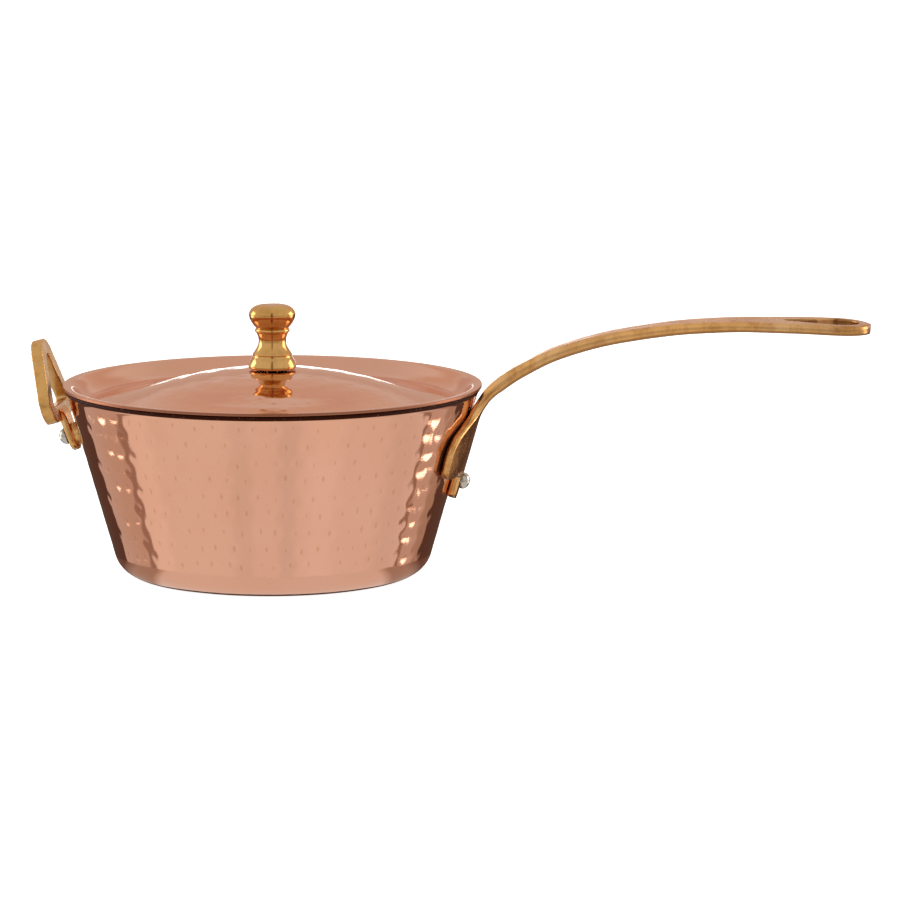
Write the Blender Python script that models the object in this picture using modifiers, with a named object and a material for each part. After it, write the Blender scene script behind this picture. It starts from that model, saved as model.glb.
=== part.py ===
"""A small copper saucepan with an inset lid, a long brass handle and a brass loop handle opposite it.

Metres, +Z up. The origin is the centre of the pan's flat underside, and the long handle points along +X.
"""
import math

import bmesh
import bpy
import numpy as np
from mathutils import Matrix, Vector

MM = 0.001
GAP = 0.3 * MM                      # room left between pieces that touch

# Pan
RIM_RADIUS = 90.0 * MM
PAN_HEIGHT = 81.0 * MM
WALL_TOP_RADIUS = 88.9 * MM         # the straight wall, carried up to the height of the rim
WALL_SLOPE = 0.287                  # radius gained for each unit of height
WALL_ANGLE = math.atan(WALL_SLOPE)
CORNER_RADIUS = 12.5 * MM
LIP_HEIGHT = 2.2 * MM               # the rim turns out over this height
COPPER = 1.2 * MM
LINING = 0.8 * MM
PAN_STEPS = 48

# Lid
FLANGE_TOP = PAN_HEIGHT + GAP + COPPER
FLANGE_WIDTH = 3.4 * MM
TROUGH_RADIUS = 77.2 * MM
TROUGH_HEIGHT = 76.0 * MM
DOME_RADIUS = 176.0 * MM            # the dome is part of a sphere
DOME_TOP = 88.8 * MM
DOME_EDGE = 55.0 * MM               # where the dome starts to flatten towards the trough
LID_LINING = 0.6 * MM
SCREW_HOLE_RADIUS = 2.3 * MM

# Knob, its screw and washer
KNOB_BASE = DOME_TOP + GAP
KNOB_HEIGHT = 27.6 * MM
SCREW_RADIUS = 2.0 * MM
SCREW_HEAD_RADIUS = 4.2 * MM
SCREW_HEAD = 2.4 * MM
SCREW_REACH = 15.0 * MM             # how far the screw goes up into the knob
WASHER_RADIUS = 7.0 * MM
WASHER = 1.0 * MM

# Rivets
RIVET_SHANK = 2.4 * MM
RIVET_HEAD_RADIUS = 3.6 * MM
RIVET_HEAD = 3.4 * MM
RIVET_TAIL_RADIUS = 4.0 * MM
RIVET_TAIL = 1.4 * MM
RIVET_STEPS = 20

# Long handle
STRAP_STRIPS = 8                    # strips across a strap's flat faces, which let it bend round the wall
FOOT_THICKNESS = 3.6 * MM
LONG_RIVET_HEIGHT = 43.0 * MM
EYE_CENTRE = 241.5 * MM
EYE_OUTER_RADIUS = 14.5 * MM
EYE_INNER_RADIUS = 9.5 * MM
EYE_POINT = 221.5 * MM              # centre of the narrow end of the teardrop
EYE_POINT_RADIUS = 2.0 * MM

# Loop handle
LOOP_THICKNESS = 5.1 * MM
LOOP_BAR = 7.0 * MM
LOOP_HEIGHT = 35.8 * MM
LOOP_CORNER = 8.5 * MM
LOOP_TOP_RADIUS = 11.0 * MM
LOOP_HALF_BASE = 20.5 * MM
LOOP_LEAN = math.radians(15.0)
LOOP_FOOT = Vector((93.2 * MM, 0.0, 65.0 * MM))    # middle of the loop's lower edge, turned to +X
TAB_THICKNESS = 3.0 * MM
TAB_HALF_WIDTH = 6.0 * MM
TAB_STAND_OFF = 6.8 * MM            # from the wall to the tab's outer face, at the rivet
BOSS_RADIUS = 5.0 * MM              # the boss on the tab's back bears on the wall
SHORT_RIVET_HEIGHT = 60.0 * MM


# ---------------------------------------------------------------- scene and materials

def clear_scene():
    for obj in list(bpy.data.objects):
        bpy.data.objects.remove(obj, do_unlink=True)


def new_collection(name):
    collection = bpy.data.collections.new(name)
    bpy.context.scene.collection.children.link(collection)
    return collection


def metal(name, colour, roughness):
    material = bpy.data.materials.new(name)
    material.use_nodes = True
    shader = material.node_tree.nodes["Principled BSDF"]
    shader.inputs["Base Color"].default_value = (*colour, 1.0)
    shader.inputs["Metallic"].default_value = 1.0
    shader.inputs["Roughness"].default_value = roughness
    return material


def place(name, mesh, material=None):
    """Makes an object of a mesh: a part where it has a material, a cutter where it has none."""
    obj = bpy.data.objects.new(name, mesh)
    if material is None:
        cutters.objects.link(obj)
        obj.hide_render = True
        obj.display_type = "WIRE"
        return obj
    parts.objects.link(obj)
    mesh.materials.append(material)
    mesh.shade_smooth()
    mesh.set_sharp_from_angle(angle=math.radians(35))
    return obj


def boolean(obj, other, operation):
    modifier = obj.modifiers.new(f"{operation.lower()}_{other.name}", "BOOLEAN")
    modifier.operation = operation
    modifier.object = other
    modifier.solver = "EXACT"


# ---------------------------------------------------------------- outlines and profiles

def arc(centre, radius, start, end, steps):
    """Points of an arc, its angles in degrees."""
    angles = np.radians(np.linspace(start, end, steps + 1))
    return [(centre[0] + radius * math.cos(a), centre[1] + radius * math.sin(a)) for a in angles]


def hull_of_circles(circles, count):
    """The outline of a band drawn tight around some circles, each given as ((x, y), radius)."""
    points = []
    for angle in np.linspace(0, 2 * math.pi, count, endpoint=False):
        direction = Vector((math.cos(angle), math.sin(angle)))
        centre, radius = max(circles, key=lambda circle: Vector(circle[0]).dot(direction) + circle[1])
        points.append(tuple(Vector(centre) + radius * direction))
    return points


def offset_profile(points, distance):
    """Moves a profile sideways, to the right of the way it runs."""
    path = [Vector(p) for p in points]
    moved = []
    for i, point in enumerate(path):
        before = (point - path[i - 1]).normalized() if i else (path[1] - point).normalized()
        after = (path[i + 1] - point).normalized() if i + 1 < len(path) else before
        along = (before + after).normalized()
        reach = distance / max(along.dot(before), 0.5)
        moved.append((point.x + along.y * reach, point.y - along.x * reach))
    return moved


def wall_radius(height):
    """Radius of the pan's outer wall at a height."""
    return WALL_TOP_RADIUS - WALL_SLOPE * (PAN_HEIGHT - height)


def pan_profile(inset):
    """The pan's outside moved in by an inset, from the rim down the wall and in to the centre of the base."""
    shift = inset / math.cos(WALL_ANGLE)
    corner = CORNER_RADIUS - inset
    corner_x = wall_radius(CORNER_RADIUS) - CORNER_RADIUS / math.cos(WALL_ANGLE)
    lip_base = PAN_HEIGHT - LIP_HEIGHT
    points = [
        (RIM_RADIUS - shift, PAN_HEIGHT),
        (wall_radius(lip_base) - shift + 0.25 * LIP_HEIGHT, lip_base + 0.4 * LIP_HEIGHT),
        (wall_radius(lip_base - LIP_HEIGHT) - shift, lip_base - LIP_HEIGHT),
    ]
    points += arc((corner_x, CORNER_RADIUS), corner, -math.degrees(WALL_ANGLE), -90, 6)
    points.append((0.0, inset))
    return points


def pan_shell(inset, thickness):
    """Both faces of one layer of the pan, from the centre of its floor up over the rim and down outside."""
    return pan_profile(inset + thickness)[::-1] + pan_profile(inset)


def lid_profile():
    """The lid's top face, from the edge of the screw hole out over the dome, the trough and the flange."""
    centre = DOME_TOP - DOME_RADIUS
    flange = RIM_RADIUS - FLANGE_WIDTH
    dome = [SCREW_HOLE_RADIUS + (DOME_EDGE - SCREW_HOLE_RADIUS) * i / 5 for i in range(6)]
    points = [(r, centre + math.sqrt(DOME_RADIUS**2 - r**2)) for r in dome]
    points += [
        (0.5 * (DOME_EDGE + TROUGH_RADIUS), 0.5 * (points[-1][1] + TROUGH_HEIGHT) - 0.6 * MM),
        (TROUGH_RADIUS, TROUGH_HEIGHT),
        (TROUGH_RADIUS + 2.8 * MM, TROUGH_HEIGHT + 0.6 * MM),
        (TROUGH_RADIUS + 5.2 * MM, TROUGH_HEIGHT + 2.2 * MM),
        (flange - 2.2 * MM, FLANGE_TOP - 2.1 * MM),
        (flange - 1.0 * MM, FLANGE_TOP - 0.8 * MM),
        (flange, FLANGE_TOP),
        (RIM_RADIUS, FLANGE_TOP),
    ]
    return points


def knob_profile():
    """The knob's outside from its top centre down to the foot, and then up its screw bore."""
    bore = SCREW_HOLE_RADIUS
    top = KNOB_HEIGHT
    points = [(0.0, top), (5.0 * MM, top - 0.2 * MM), (7.4 * MM, top - 0.6 * MM)]
    points += arc((6.1 * MM, 23.2 * MM), 3.9 * MM, 45, -35, 4)
    points += [
        (7.0 * MM, 17.3 * MM),
        (7.4 * MM, 16.7 * MM),
        (7.3 * MM, 15.6 * MM),
        (6.0 * MM, 13.2 * MM),
        (5.9 * MM, 12.0 * MM),
        (6.3 * MM, 10.0 * MM),
        (8.6 * MM, 6.0 * MM),
        (8.4 * MM, 5.4 * MM),
        (9.4 * MM, 3.6 * MM),
        (10.3 * MM, 1.2 * MM),
        (10.1 * MM, 0.0),
        (bore, 0.0),
        (bore, SCREW_REACH + GAP),
        (0.0, SCREW_REACH + GAP),
    ]
    return [(x, KNOB_BASE + z) for x, z in points]


def turned(name, profile, steps, material=None, closed=False):
    """A turned shape: a profile at +X and a Screw modifier. A closed profile makes a ring."""
    mesh = bpy.data.meshes.new(name)
    edges = [(i, i + 1) for i in range(len(profile) - 1)]
    if closed:
        edges.append((len(profile) - 1, 0))
    mesh.from_pydata([(x, 0.0, z) for x, z in profile], edges, [])
    obj = place(name, mesh, material)
    screw = obj.modifiers.new("turn", "SCREW")
    screw.axis = "Z"
    screw.steps = steps
    screw.render_steps = steps
    screw.use_merge_vertices = True
    screw.merge_threshold = 0.00001
    screw.use_smooth_shade = True
    return obj


def thicken(obj, thickness):
    """Gives a turned surface its metal thickness, on the side away from its outer face."""
    solid = obj.modifiers.new("thickness", "SOLIDIFY")
    solid.thickness = thickness
    solid.offset = -1.0
    solid.use_even_offset = True


# ---------------------------------------------------------------- straps

def smooth_through(keys, samples):
    """Reads rows of key values as smooth curves with no overshoot, against the distance along the strap."""
    table = np.array(keys, dtype=float)
    steps = np.hypot(*np.diff(table[:, :2], axis=0).T)
    along = np.concatenate([[0.0], np.cumsum(steps)])
    slopes = np.diff(table, axis=0) / steps[:, None]
    tangents = np.zeros_like(table)
    tangents[0], tangents[-1] = slopes[0], slopes[-1]
    before, after = slopes[:-1], slopes[1:]
    same_way = before * after > 0
    tangents[1:-1][same_way] = 2 * before[same_way] * after[same_way] / (before + after)[same_way]
    rows = []
    for distance in samples(along[-1]):
        i = min(np.searchsorted(along, distance, side="right") - 1, len(steps) - 1)
        t = (distance - along[i]) / steps[i]
        rows.append(
            (2 * t**3 - 3 * t**2 + 1) * table[i]
            + (t**3 - 2 * t**2 + t) * steps[i] * tangents[i]
            + (3 * t**2 - 2 * t**3) * table[i + 1]
            + (t**3 - t**2) * steps[i] * tangents[i + 1]
        )
    return np.array(rows)


def section(half_width, thickness):
    """A rectangle with rounded corners, as (sideways, through the thickness) points."""
    corner = min(0.32 * thickness, 0.9 * half_width)
    flat_x, flat_y = half_width - corner, 0.5 * thickness - corner
    across = [flat_x * (1 - 2 * i / STRAP_STRIPS) for i in range(1, STRAP_STRIPS)]
    outer = arc((flat_x, flat_y), corner, 0, 90, 2) + [(x, 0.5 * thickness) for x in across]
    outer += arc((-flat_x, flat_y), corner, 90, 180, 2)
    inner = [(-x, -y) for x, y in outer]
    return outer + inner


def strap(name, rows, material=None):
    """Lofts sections along a centreline in the XZ plane. A row is (x, z, half width, thickness, hug).

    Where hug is 1 the section bends round the pan's axis and lies on the wall; where it is 0 it is flat.
    """
    centres = rows[:, :2]
    tangents = np.gradient(centres, axis=0)
    tangents /= np.linalg.norm(tangents, axis=1)[:, None]
    bm = bmesh.new()
    rings = []
    for (x, z, half_width, thickness, hug), (tx, tz) in zip(rows, tangents):
        ring = []
        for side, out in section(half_width, thickness):
            radius = x + out * tz
            height = z - out * tx
            angle = side / x
            flat = Vector((radius, side, height))
            bent = Vector((radius * math.cos(angle), radius * math.sin(angle), height))
            ring.append(bm.verts.new(flat.lerp(bent, hug)))
        rings.append(ring)
    for ring, following in zip(rings, rings[1:]):
        for i in range(len(ring)):
            j = (i + 1) % len(ring)
            bm.faces.new((ring[i], following[i], following[j], ring[j]))
    bm.faces.new(rings[0])
    bm.faces.new(reversed(rings[-1]))
    bmesh.ops.recalc_face_normals(bm, faces=bm.faces)
    mesh = bpy.data.meshes.new(name)
    bm.to_mesh(mesh)
    bm.free()
    return place(name, mesh, material)


def round_off(rows, length, at_end):
    """Narrows a strap's last stretch to a half-round end."""
    steps = np.hypot(*np.diff(rows[:, :2], axis=0).T)
    along = np.concatenate([[0.0], np.cumsum(steps)])
    left = along[-1] - along if at_end else along
    inside = np.clip(1.0 - left / length, 0.0, 0.985)
    rows[:, 2] *= np.sqrt(1.0 - inside**2)
    return rows


# ---------------------------------------------------------------- rivets

def rivet_frame(height, side):
    """Where a rivet crosses the wall's outer face, with local +Z pointing out of the wall, on side +1 or -1."""
    turn = Matrix.Rotation(math.radians(90) + WALL_ANGLE, 4, "Y")
    spot = Matrix.Translation((wall_radius(height), 0.0, height)) @ turn
    return spot if side > 0 else Matrix.Rotation(math.pi, 4, "Z") @ spot


def rivet(name, height, side, plate, material):
    """A domed head outside the handle's plate, a shank through the wall, and a flat tail inside the pan."""
    inner = -(COPPER + GAP + LINING) - 1.6 * GAP
    outer = plate + 2.0 * GAP
    dome = [
        (RIVET_HEAD_RADIUS * math.cos(a), outer + RIVET_HEAD * math.sin(a))
        for a in np.radians(np.linspace(90, 0, 6))
    ]
    profile = dome + [
        (RIVET_SHANK, outer),
        (RIVET_SHANK, inner),
        (RIVET_TAIL_RADIUS, inner),
        (RIVET_TAIL_RADIUS - 0.3 * MM, inner - 0.6 * RIVET_TAIL),
        (0.5 * RIVET_TAIL_RADIUS, inner - RIVET_TAIL),
        (0.0, inner - RIVET_TAIL),
    ]
    obj = turned(name, profile, RIVET_STEPS, material)
    obj.matrix_world = rivet_frame(height, side)
    return obj


def rivet_hole(height, side):
    """Cutter for the hole that a rivet's shank passes through."""
    reach = 12 * MM
    radius = RIVET_SHANK + GAP
    profile = [(0.0, reach), (radius, reach), (radius, -reach), (0.0, -reach)]
    cutter = turned(f"rivet_hole_{'long' if side > 0 else 'short'}", profile, RIVET_STEPS)
    cutter.matrix_world = rivet_frame(height, side)
    return cutter


# ---------------------------------------------------------------- the pieces

def make_pan(holes):
    pan = turned("copper_pan", pan_shell(0.0, COPPER), PAN_STEPS, copper)
    lining = turned("pan_lining", pan_shell(COPPER + GAP, LINING), PAN_STEPS, steel)
    for hole in holes:
        boolean(pan, hole, "DIFFERENCE")
        boolean(lining, hole, "DIFFERENCE")


def make_lid():
    top = lid_profile()
    cover = turned("lid_cover", top, PAN_STEPS, copper)
    thicken(cover, COPPER)
    under = offset_profile(top[:-4], COPPER + GAP)
    lining = turned("lid_lining", under, PAN_STEPS, steel)
    thicken(lining, LID_LINING)


def make_knob():
    turned("lid_knob", knob_profile(), 32, brass)
    underside = DOME_TOP - COPPER - LID_LINING - 2 * GAP
    washer_top = underside - GAP
    washer = [
        (SCREW_HOLE_RADIUS, washer_top),
        (WASHER_RADIUS, washer_top),
        (WASHER_RADIUS, washer_top - WASHER),
        (SCREW_HOLE_RADIUS, washer_top - WASHER),
    ]
    turned("knob_washer", washer, RIVET_STEPS, steel, closed=True)
    head_top = washer_top - WASHER - GAP
    screw = [
        (0.0, KNOB_BASE + SCREW_REACH),
        (SCREW_RADIUS, KNOB_BASE + SCREW_REACH),
        (SCREW_RADIUS, head_top),
        (SCREW_HEAD_RADIUS, head_top),
        (SCREW_HEAD_RADIUS, head_top - 0.6 * SCREW_HEAD),
        (0.7 * SCREW_HEAD_RADIUS, head_top - SCREW_HEAD),
        (0.0, head_top - SCREW_HEAD),
    ]
    turned("knob_screw", screw, RIVET_STEPS, steel)


def on_wall(height, thickness):
    """Centre of a plate of this thickness that lies on the wall at a height, as (x, z)."""
    out = GAP + 0.5 * thickness
    return (
        wall_radius(height) + out * math.cos(WALL_ANGLE),
        height - out * math.sin(WALL_ANGLE),
    )


def extruded(name, outline, half_depth):
    """A cutter: an outline in the XY plane, extruded both ways."""
    bm = bmesh.new()
    face = bm.faces.new([bm.verts.new((x, y, -half_depth)) for x, y in outline])
    grown = bmesh.ops.extrude_face_region(bm, geom=[face])
    raised = [item for item in grown["geom"] if isinstance(item, bmesh.types.BMVert)]
    bmesh.ops.translate(bm, verts=raised, vec=(0.0, 0.0, 2 * half_depth))
    bmesh.ops.recalc_face_normals(bm, faces=bm.faces)
    mesh = bpy.data.meshes.new(name)
    bm.to_mesh(mesh)
    bm.free()
    return place(name, mesh)


def long_handle_keys():
    """The long handle from the tab's lower end, over the foot and the bend at the rim, to the hanging eye.

    Each row: x, z, half width, thickness, hug.
    """
    foot = [
        (35.0, 6.4, FOOT_THICKNESS, 1.0),
        (45.7, 6.5, FOOT_THICKNESS, 1.0),
        (47.0, 23.5, FOOT_THICKNESS, 1.0),
        (49.6, 27.0, FOOT_THICKNESS, 1.0),
        (58.0, 28.5, FOOT_THICKNESS, 1.0),
        (64.0, 26.0, FOOT_THICKNESS, 1.0),
        (68.0, 19.5, FOOT_THICKNESS, 1.0),
        (72.0, 11.0, 4.0 * MM, 0.8),
    ]
    keys = [(*on_wall(z * MM, t), half * MM, t, hug) for z, half, t, hug in foot]
    bend = [
        (91.9, 77.2, 8.0, 4.6, 0.3),
        (94.9, 80.9, 7.5, 5.2, 0.0),
        (98.7, 84.0, 7.2, 5.7, 0.0),
        (107.0, 89.6, 7.0, 5.6, 0.0),
        (124.1, 98.1, 7.0, 5.3, 0.0),
        (149.8, 105.4, 7.6, 5.1, 0.0),
        (183.8, 110.2, 9.2, 4.8, 0.0),
        (206.0, 111.2, 10.8, 4.5, 0.0),
        (224.0, 111.2, 13.2, 4.4, 0.0),
        (EYE_CENTRE / MM, 110.8, EYE_OUTER_RADIUS / MM, 4.4, 0.0),
        ((EYE_CENTRE + EYE_OUTER_RADIUS) / MM, 110.1, EYE_OUTER_RADIUS / MM, 4.2, 0.0),
    ]
    keys += [(x * MM, z * MM, half * MM, t * MM, hug) for x, z, half, t, hug in bend]
    return keys


def make_long_handle(hole):
    def samples(length):
        tab_end = np.linspace(0.0, 2.5 * MM, 5)[:-1]
        tab = np.linspace(2.5 * MM, 11.1 * MM, 4)[:-1]
        step = np.linspace(11.1 * MM, 12.5 * MM, 5)[:-1]
        lower = np.linspace(12.5 * MM, 44 * MM, 19)[:-1]
        upper = np.linspace(44 * MM, length - EYE_OUTER_RADIUS, 22)[:-1]
        turn = np.linspace(0.0, 0.5 * math.pi, 9)
        end = length - EYE_OUTER_RADIUS * (1.0 - np.sin(turn))
        return np.concatenate([tab_end, tab, step, lower, upper, end])

    rows = smooth_through(long_handle_keys(), samples)
    rows = round_off(rows, 2.5 * MM, at_end=False)
    rows = round_off(rows, EYE_OUTER_RADIUS, at_end=True)
    handle = strap("long_handle", rows, brass)
    eye = [((EYE_CENTRE, 0.0), EYE_INNER_RADIUS), ((EYE_POINT, 0.0), EYE_POINT_RADIUS)]
    cutter = extruded("hanging_eye", hull_of_circles(eye, 28), 10 * MM)
    cutter.location.z = 111 * MM
    boolean(handle, cutter, "DIFFERENCE")
    boolean(handle, hole, "DIFFERENCE")


def loop_circles(shrink):
    """Circles at the loop's corners and top. Sideways is X and up the loop is Y."""
    side = LOOP_HALF_BASE - LOOP_CORNER
    corners = [((x, LOOP_CORNER), LOOP_CORNER - shrink) for x in (-side, side)]
    return corners + [((0.0, LOOP_HEIGHT - LOOP_TOP_RADIUS), LOOP_TOP_RADIUS - shrink)]


def make_helper_handle(hole):
    """The loop and, cast in one with it, the tab that is riveted to the wall."""
    curve = bpy.data.curves.new("loop_outline", "CURVE")
    curve.dimensions = "2D"
    curve.fill_mode = "BOTH"
    curve.extrude = 0.5 * LOOP_THICKNESS
    for shrink in (0.0, LOOP_BAR):
        outline = hull_of_circles(loop_circles(shrink), 36)
        spline = curve.splines.new("POLY")
        spline.points.add(len(outline) - 1)
        spline.use_cyclic_u = True
        for point, (x, y) in zip(spline.points, outline):
            point.co = (x, y, 0.0, 1.0)
    flat = bpy.data.objects.new("loop_outline", curve)
    cutters.objects.link(flat)
    depsgraph = bpy.context.evaluated_depsgraph_get()
    mesh = bpy.data.meshes.new_from_object(flat.evaluated_get(depsgraph))
    bpy.data.objects.remove(flat)
    bm = bmesh.new()
    bm.from_mesh(mesh)
    bmesh.ops.remove_doubles(bm, verts=bm.verts, dist=0.00001)
    bm.to_mesh(mesh)
    bm.free()

    # The outline's sideways becomes Y and its up leans out from the pan, on the -X side.
    lean_up = Vector((-math.sin(LOOP_LEAN), 0.0, math.cos(LOOP_LEAN)))
    sideways = Vector((0.0, 1.0, 0.0))
    stand = Matrix((sideways, lean_up, sideways.cross(lean_up))).transposed().to_4x4()
    foot = Vector((-LOOP_FOOT.x, 0.0, LOOP_FOOT.z))
    mesh.transform(Matrix.Translation(foot) @ stand)
    handle = place("helper_handle", mesh, brass)
    bevel = handle.modifiers.new("edges", "BEVEL")
    bevel.width = 0.8 * MM
    bevel.segments = 1
    bevel.limit_method = "ANGLE"
    bevel.angle_limit = math.radians(60)

    half, t = TAB_HALF_WIDTH, TAB_THICKNESS
    keys = [
        (85.4 * MM, 52.2 * MM, half, t, 0.0),
        (88.4 * MM, 60.0 * MM, half, t, 0.0),
        (91.1 * MM, 67.2 * MM, 1.1 * half, 1.1 * t, 0.0),
        (92.8 * MM, 69.6 * MM, 1.2 * half, 1.1 * t, 0.0),
    ]
    rows = smooth_through(keys, lambda length: np.concatenate([
        np.linspace(0.0, 4 * MM, 6)[:-1],
        np.linspace(4 * MM, length, 9),
    ]))
    tab = strap("helper_tab", round_off(rows, 4 * MM, at_end=False))
    tab.rotation_euler.z = math.pi
    reach = TAB_STAND_OFF - 0.5 * t
    boss_profile = [(0.0, reach), (BOSS_RADIUS, reach), (BOSS_RADIUS, GAP), (0.0, GAP)]
    boss = turned("helper_boss", boss_profile, RIVET_STEPS)
    boss.matrix_world = rivet_frame(SHORT_RIVET_HEIGHT, -1)
    boolean(handle, tab, "UNION")
    boolean(handle, boss, "UNION")
    boolean(handle, hole, "DIFFERENCE")


clear_scene()
parts = new_collection("copper_saucepan")
cutters = new_collection("cutters")
copper = metal("hammered_copper", (0.83, 0.47, 0.36), 0.16)
brass = metal("cast_brass", (0.72, 0.49, 0.20), 0.30)
steel = metal("steel", (0.62, 0.60, 0.58), 0.25)

long_hole = rivet_hole(LONG_RIVET_HEIGHT, 1)
short_hole = rivet_hole(SHORT_RIVET_HEIGHT, -1)
make_pan([long_hole, short_hole])
make_lid()
make_knob()
make_long_handle(long_hole)
make_helper_handle(short_hole)
rivet("long_handle_rivet", LONG_RIVET_HEIGHT, 1, FOOT_THICKNESS, steel)
rivet("helper_handle_rivet", SHORT_RIVET_HEIGHT, -1, TAB_STAND_OFF, steel)
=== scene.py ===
import math

import bmesh
import bpy
import numpy as np
from mathutils import Matrix, Vector


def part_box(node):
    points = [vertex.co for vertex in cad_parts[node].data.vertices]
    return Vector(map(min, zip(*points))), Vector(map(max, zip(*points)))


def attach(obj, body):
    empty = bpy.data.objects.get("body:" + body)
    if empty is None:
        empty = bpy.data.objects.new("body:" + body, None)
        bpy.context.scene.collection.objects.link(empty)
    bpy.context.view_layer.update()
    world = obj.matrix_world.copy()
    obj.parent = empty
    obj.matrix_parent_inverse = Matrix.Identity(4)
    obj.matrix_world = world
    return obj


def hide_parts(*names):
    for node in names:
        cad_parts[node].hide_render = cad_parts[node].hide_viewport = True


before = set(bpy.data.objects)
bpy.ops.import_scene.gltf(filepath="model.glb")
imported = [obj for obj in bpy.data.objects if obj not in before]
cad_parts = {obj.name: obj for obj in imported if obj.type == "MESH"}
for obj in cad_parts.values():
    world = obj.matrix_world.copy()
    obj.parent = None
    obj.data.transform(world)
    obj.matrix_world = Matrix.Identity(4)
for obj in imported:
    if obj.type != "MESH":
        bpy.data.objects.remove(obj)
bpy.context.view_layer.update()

MM = 0.001

# Driving sizes, read from the parts in model.glb
PAN_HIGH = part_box("copper_pan")[1]
RIM_RADIUS = PAN_HIGH.x
RIM_HEIGHT = PAN_HIGH.z
DOME_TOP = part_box("lid_cover")[1].z
KNOB_LOW, KNOB_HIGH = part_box("lid_knob")
STRAP_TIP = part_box("long_handle")[1].x

# The pan's wall
WALL_SLOPE = 0.287                  # radius gained for each unit of height
WALL_ANGLE = math.atan(WALL_SLOPE)
WALL_TOP_RADIUS = RIM_RADIUS - 1.1 * MM
CORNER_RADIUS = 12.5 * MM
LIP_HEIGHT = 2.2 * MM               # the rim turns out over this height
LIP_OVERHANG = 0.4 * MM             # the lid's flange reaches this far past the rim
LIP_STEPS = 8                       # points of the profile on the lip's bend
COPPER = 1.2 * MM
LINING = 0.8 * MM
GAP = 0.3 * MM                      # between pieces that touch

# The lid
LID_LINING = 0.6 * MM
FLANGE_TOP = RIM_HEIGHT + 1.5 * MM
FLANGE_WIDTH = 3.4 * MM
TROUGH_RADIUS, TROUGH_HEIGHT = 77.2 * MM, 76.0 * MM
DOME_RADIUS, DOME_EDGE = 176 * MM, 55 * MM
SCREW_BORE = 2.3 * MM
EDGE_STEPS = 4                      # steps round each corner of the flange's cut edge

# Hammer marks
MARK_PITCH = 7.7 * MM               # between marks in a row
MARK_ROW = 7.9 * MM                 # between rows
MARK_DEPTH = 0.11 * MM
MARK_SCATTER = 0.10                 # of a row or a pitch
MARK_REACH = 2.2                    # times its half size, where a mark has faded out
DENT = (2.9 * MM, 2.4 * MM)         # half width and half length of a mark's hollow
MARK_SHADE = (0.75 * MM, 1.8 * MM)        # and of the painted shade in the middle of it, standing in for the darker reflection of its slopes
LID_MARK_ROW = 6.2 * MM
LID_MARK_DEPTH = 0.05 * MM
LID_DENT = (1.7 * MM, 1.5 * MM)
# half width and half length of the painted shade in the middle of a lid mark
LID_MARK_SHADE = (1.2 * MM, 0.8 * MM)
LID_RING_PITCH = 10.5 * MM          # faint rings left in the lid by hammering round it
LID_RING_DEPTH = 0.04 * MM

# Painted shade and dullness, stored for each point: the middle of a hammer mark counts as 1
SHADE_AND_DULLNESS = "shade_and_dullness"
CUT_EDGE_SHADE = 4.0                     # a cut edge, painted brown as shade and made rougher
PAINTED_SHADOW = 8.0                         # painted near-black shadow under the rim, and part of it beside the long handle's foot
PAINTED_SHADOW_ROWS = (-2, 4)                # rows of the pan's profile painted as shadow, counted from the rim's outer edge

# Long handle
LONG_RIVET_HEIGHT = 43.0 * MM
FOOT_THICKNESS = 3.6 * MM
LONG_FOOT = [                       # height and half width in mm, thickness, and how far it hugs the wall
    (35.0, 6.4, FOOT_THICKNESS, 1.0),
    (45.7, 6.5, FOOT_THICKNESS, 1.0),
    (46.3, 21.5, FOOT_THICKNESS, 1.0),
    (47.2, 25.3, FOOT_THICKNESS, 1.0),
    (49.6, 27.3, FOOT_THICKNESS, 1.0),
    (58.0, 28.5, FOOT_THICKNESS, 1.0),
    (64.0, 26.0, FOOT_THICKNESS, 1.0),
    (68.0, 19.5, FOOT_THICKNESS, 1.0),
    (72.0, 11.0, 4.0 * MM, 0.8),
]
EYE_RADIUS = 14.5 * MM              # outside
EYE_CENTRE = STRAP_TIP - EYE_RADIUS
EYE_HOLE = 9.5 * MM                 # the hole narrows from this radius to a point nearer the pan
EYE_POINT = 2.0 * MM
EYE_LENGTH = 20.0 * MM

# Loop handle
LOOP_LEAN = math.radians(15.0)
LOOP_FOOT = Vector((-93.2 * MM, 0.0, 65.0 * MM))
LOOP_THICKNESS = 5.1 * MM
LOOP_BAR = 7.0 * MM
LOOP_RIVET_HEIGHT = 60.0 * MM
TAB_STAND_OFF = 6.8 * MM

# The camera stands 7 degrees to the right of the pan's broad side
CAMERA_TURN = math.radians(7.0)
CAMERA_RISE = math.radians(8.88)
CAMERA_DISTANCE = 2.2
CAMERA_AIM = Vector((0.0757, 0.0093, 0.0534))
LENS_MM = 204.3


# ------------------------ curves and meshes

def ramp(value, start, end):
    """Rises from 0 at the start to 1 at the end, and stays level outside them."""
    return np.clip((value - start) / (end - start), 0, 1)


def in_mm(points):
    """Points given in millimetres, in metres."""
    return [tuple(MM * size for size in point) for point in points]


def arc(centre, radius, start, end, steps):
    """Points of an arc, its angles in degrees."""
    angles = np.radians(np.linspace(start, end, steps + 1))
    return [(centre[0] + radius * math.cos(a), centre[1] + radius * math.sin(a)) for a in angles]


def finer(points, step):
    """Adds points along a polyline so that none are further apart than a step."""
    points = np.array(points, dtype=float)
    rows = [points[0]]
    for start, end in zip(points, points[1:]):
        count = max(1, math.ceil(np.linalg.norm(end - start) / step))
        rows += [start + (end - start) * i / count for i in range(1, count + 1)]
    return np.array(rows)


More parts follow.
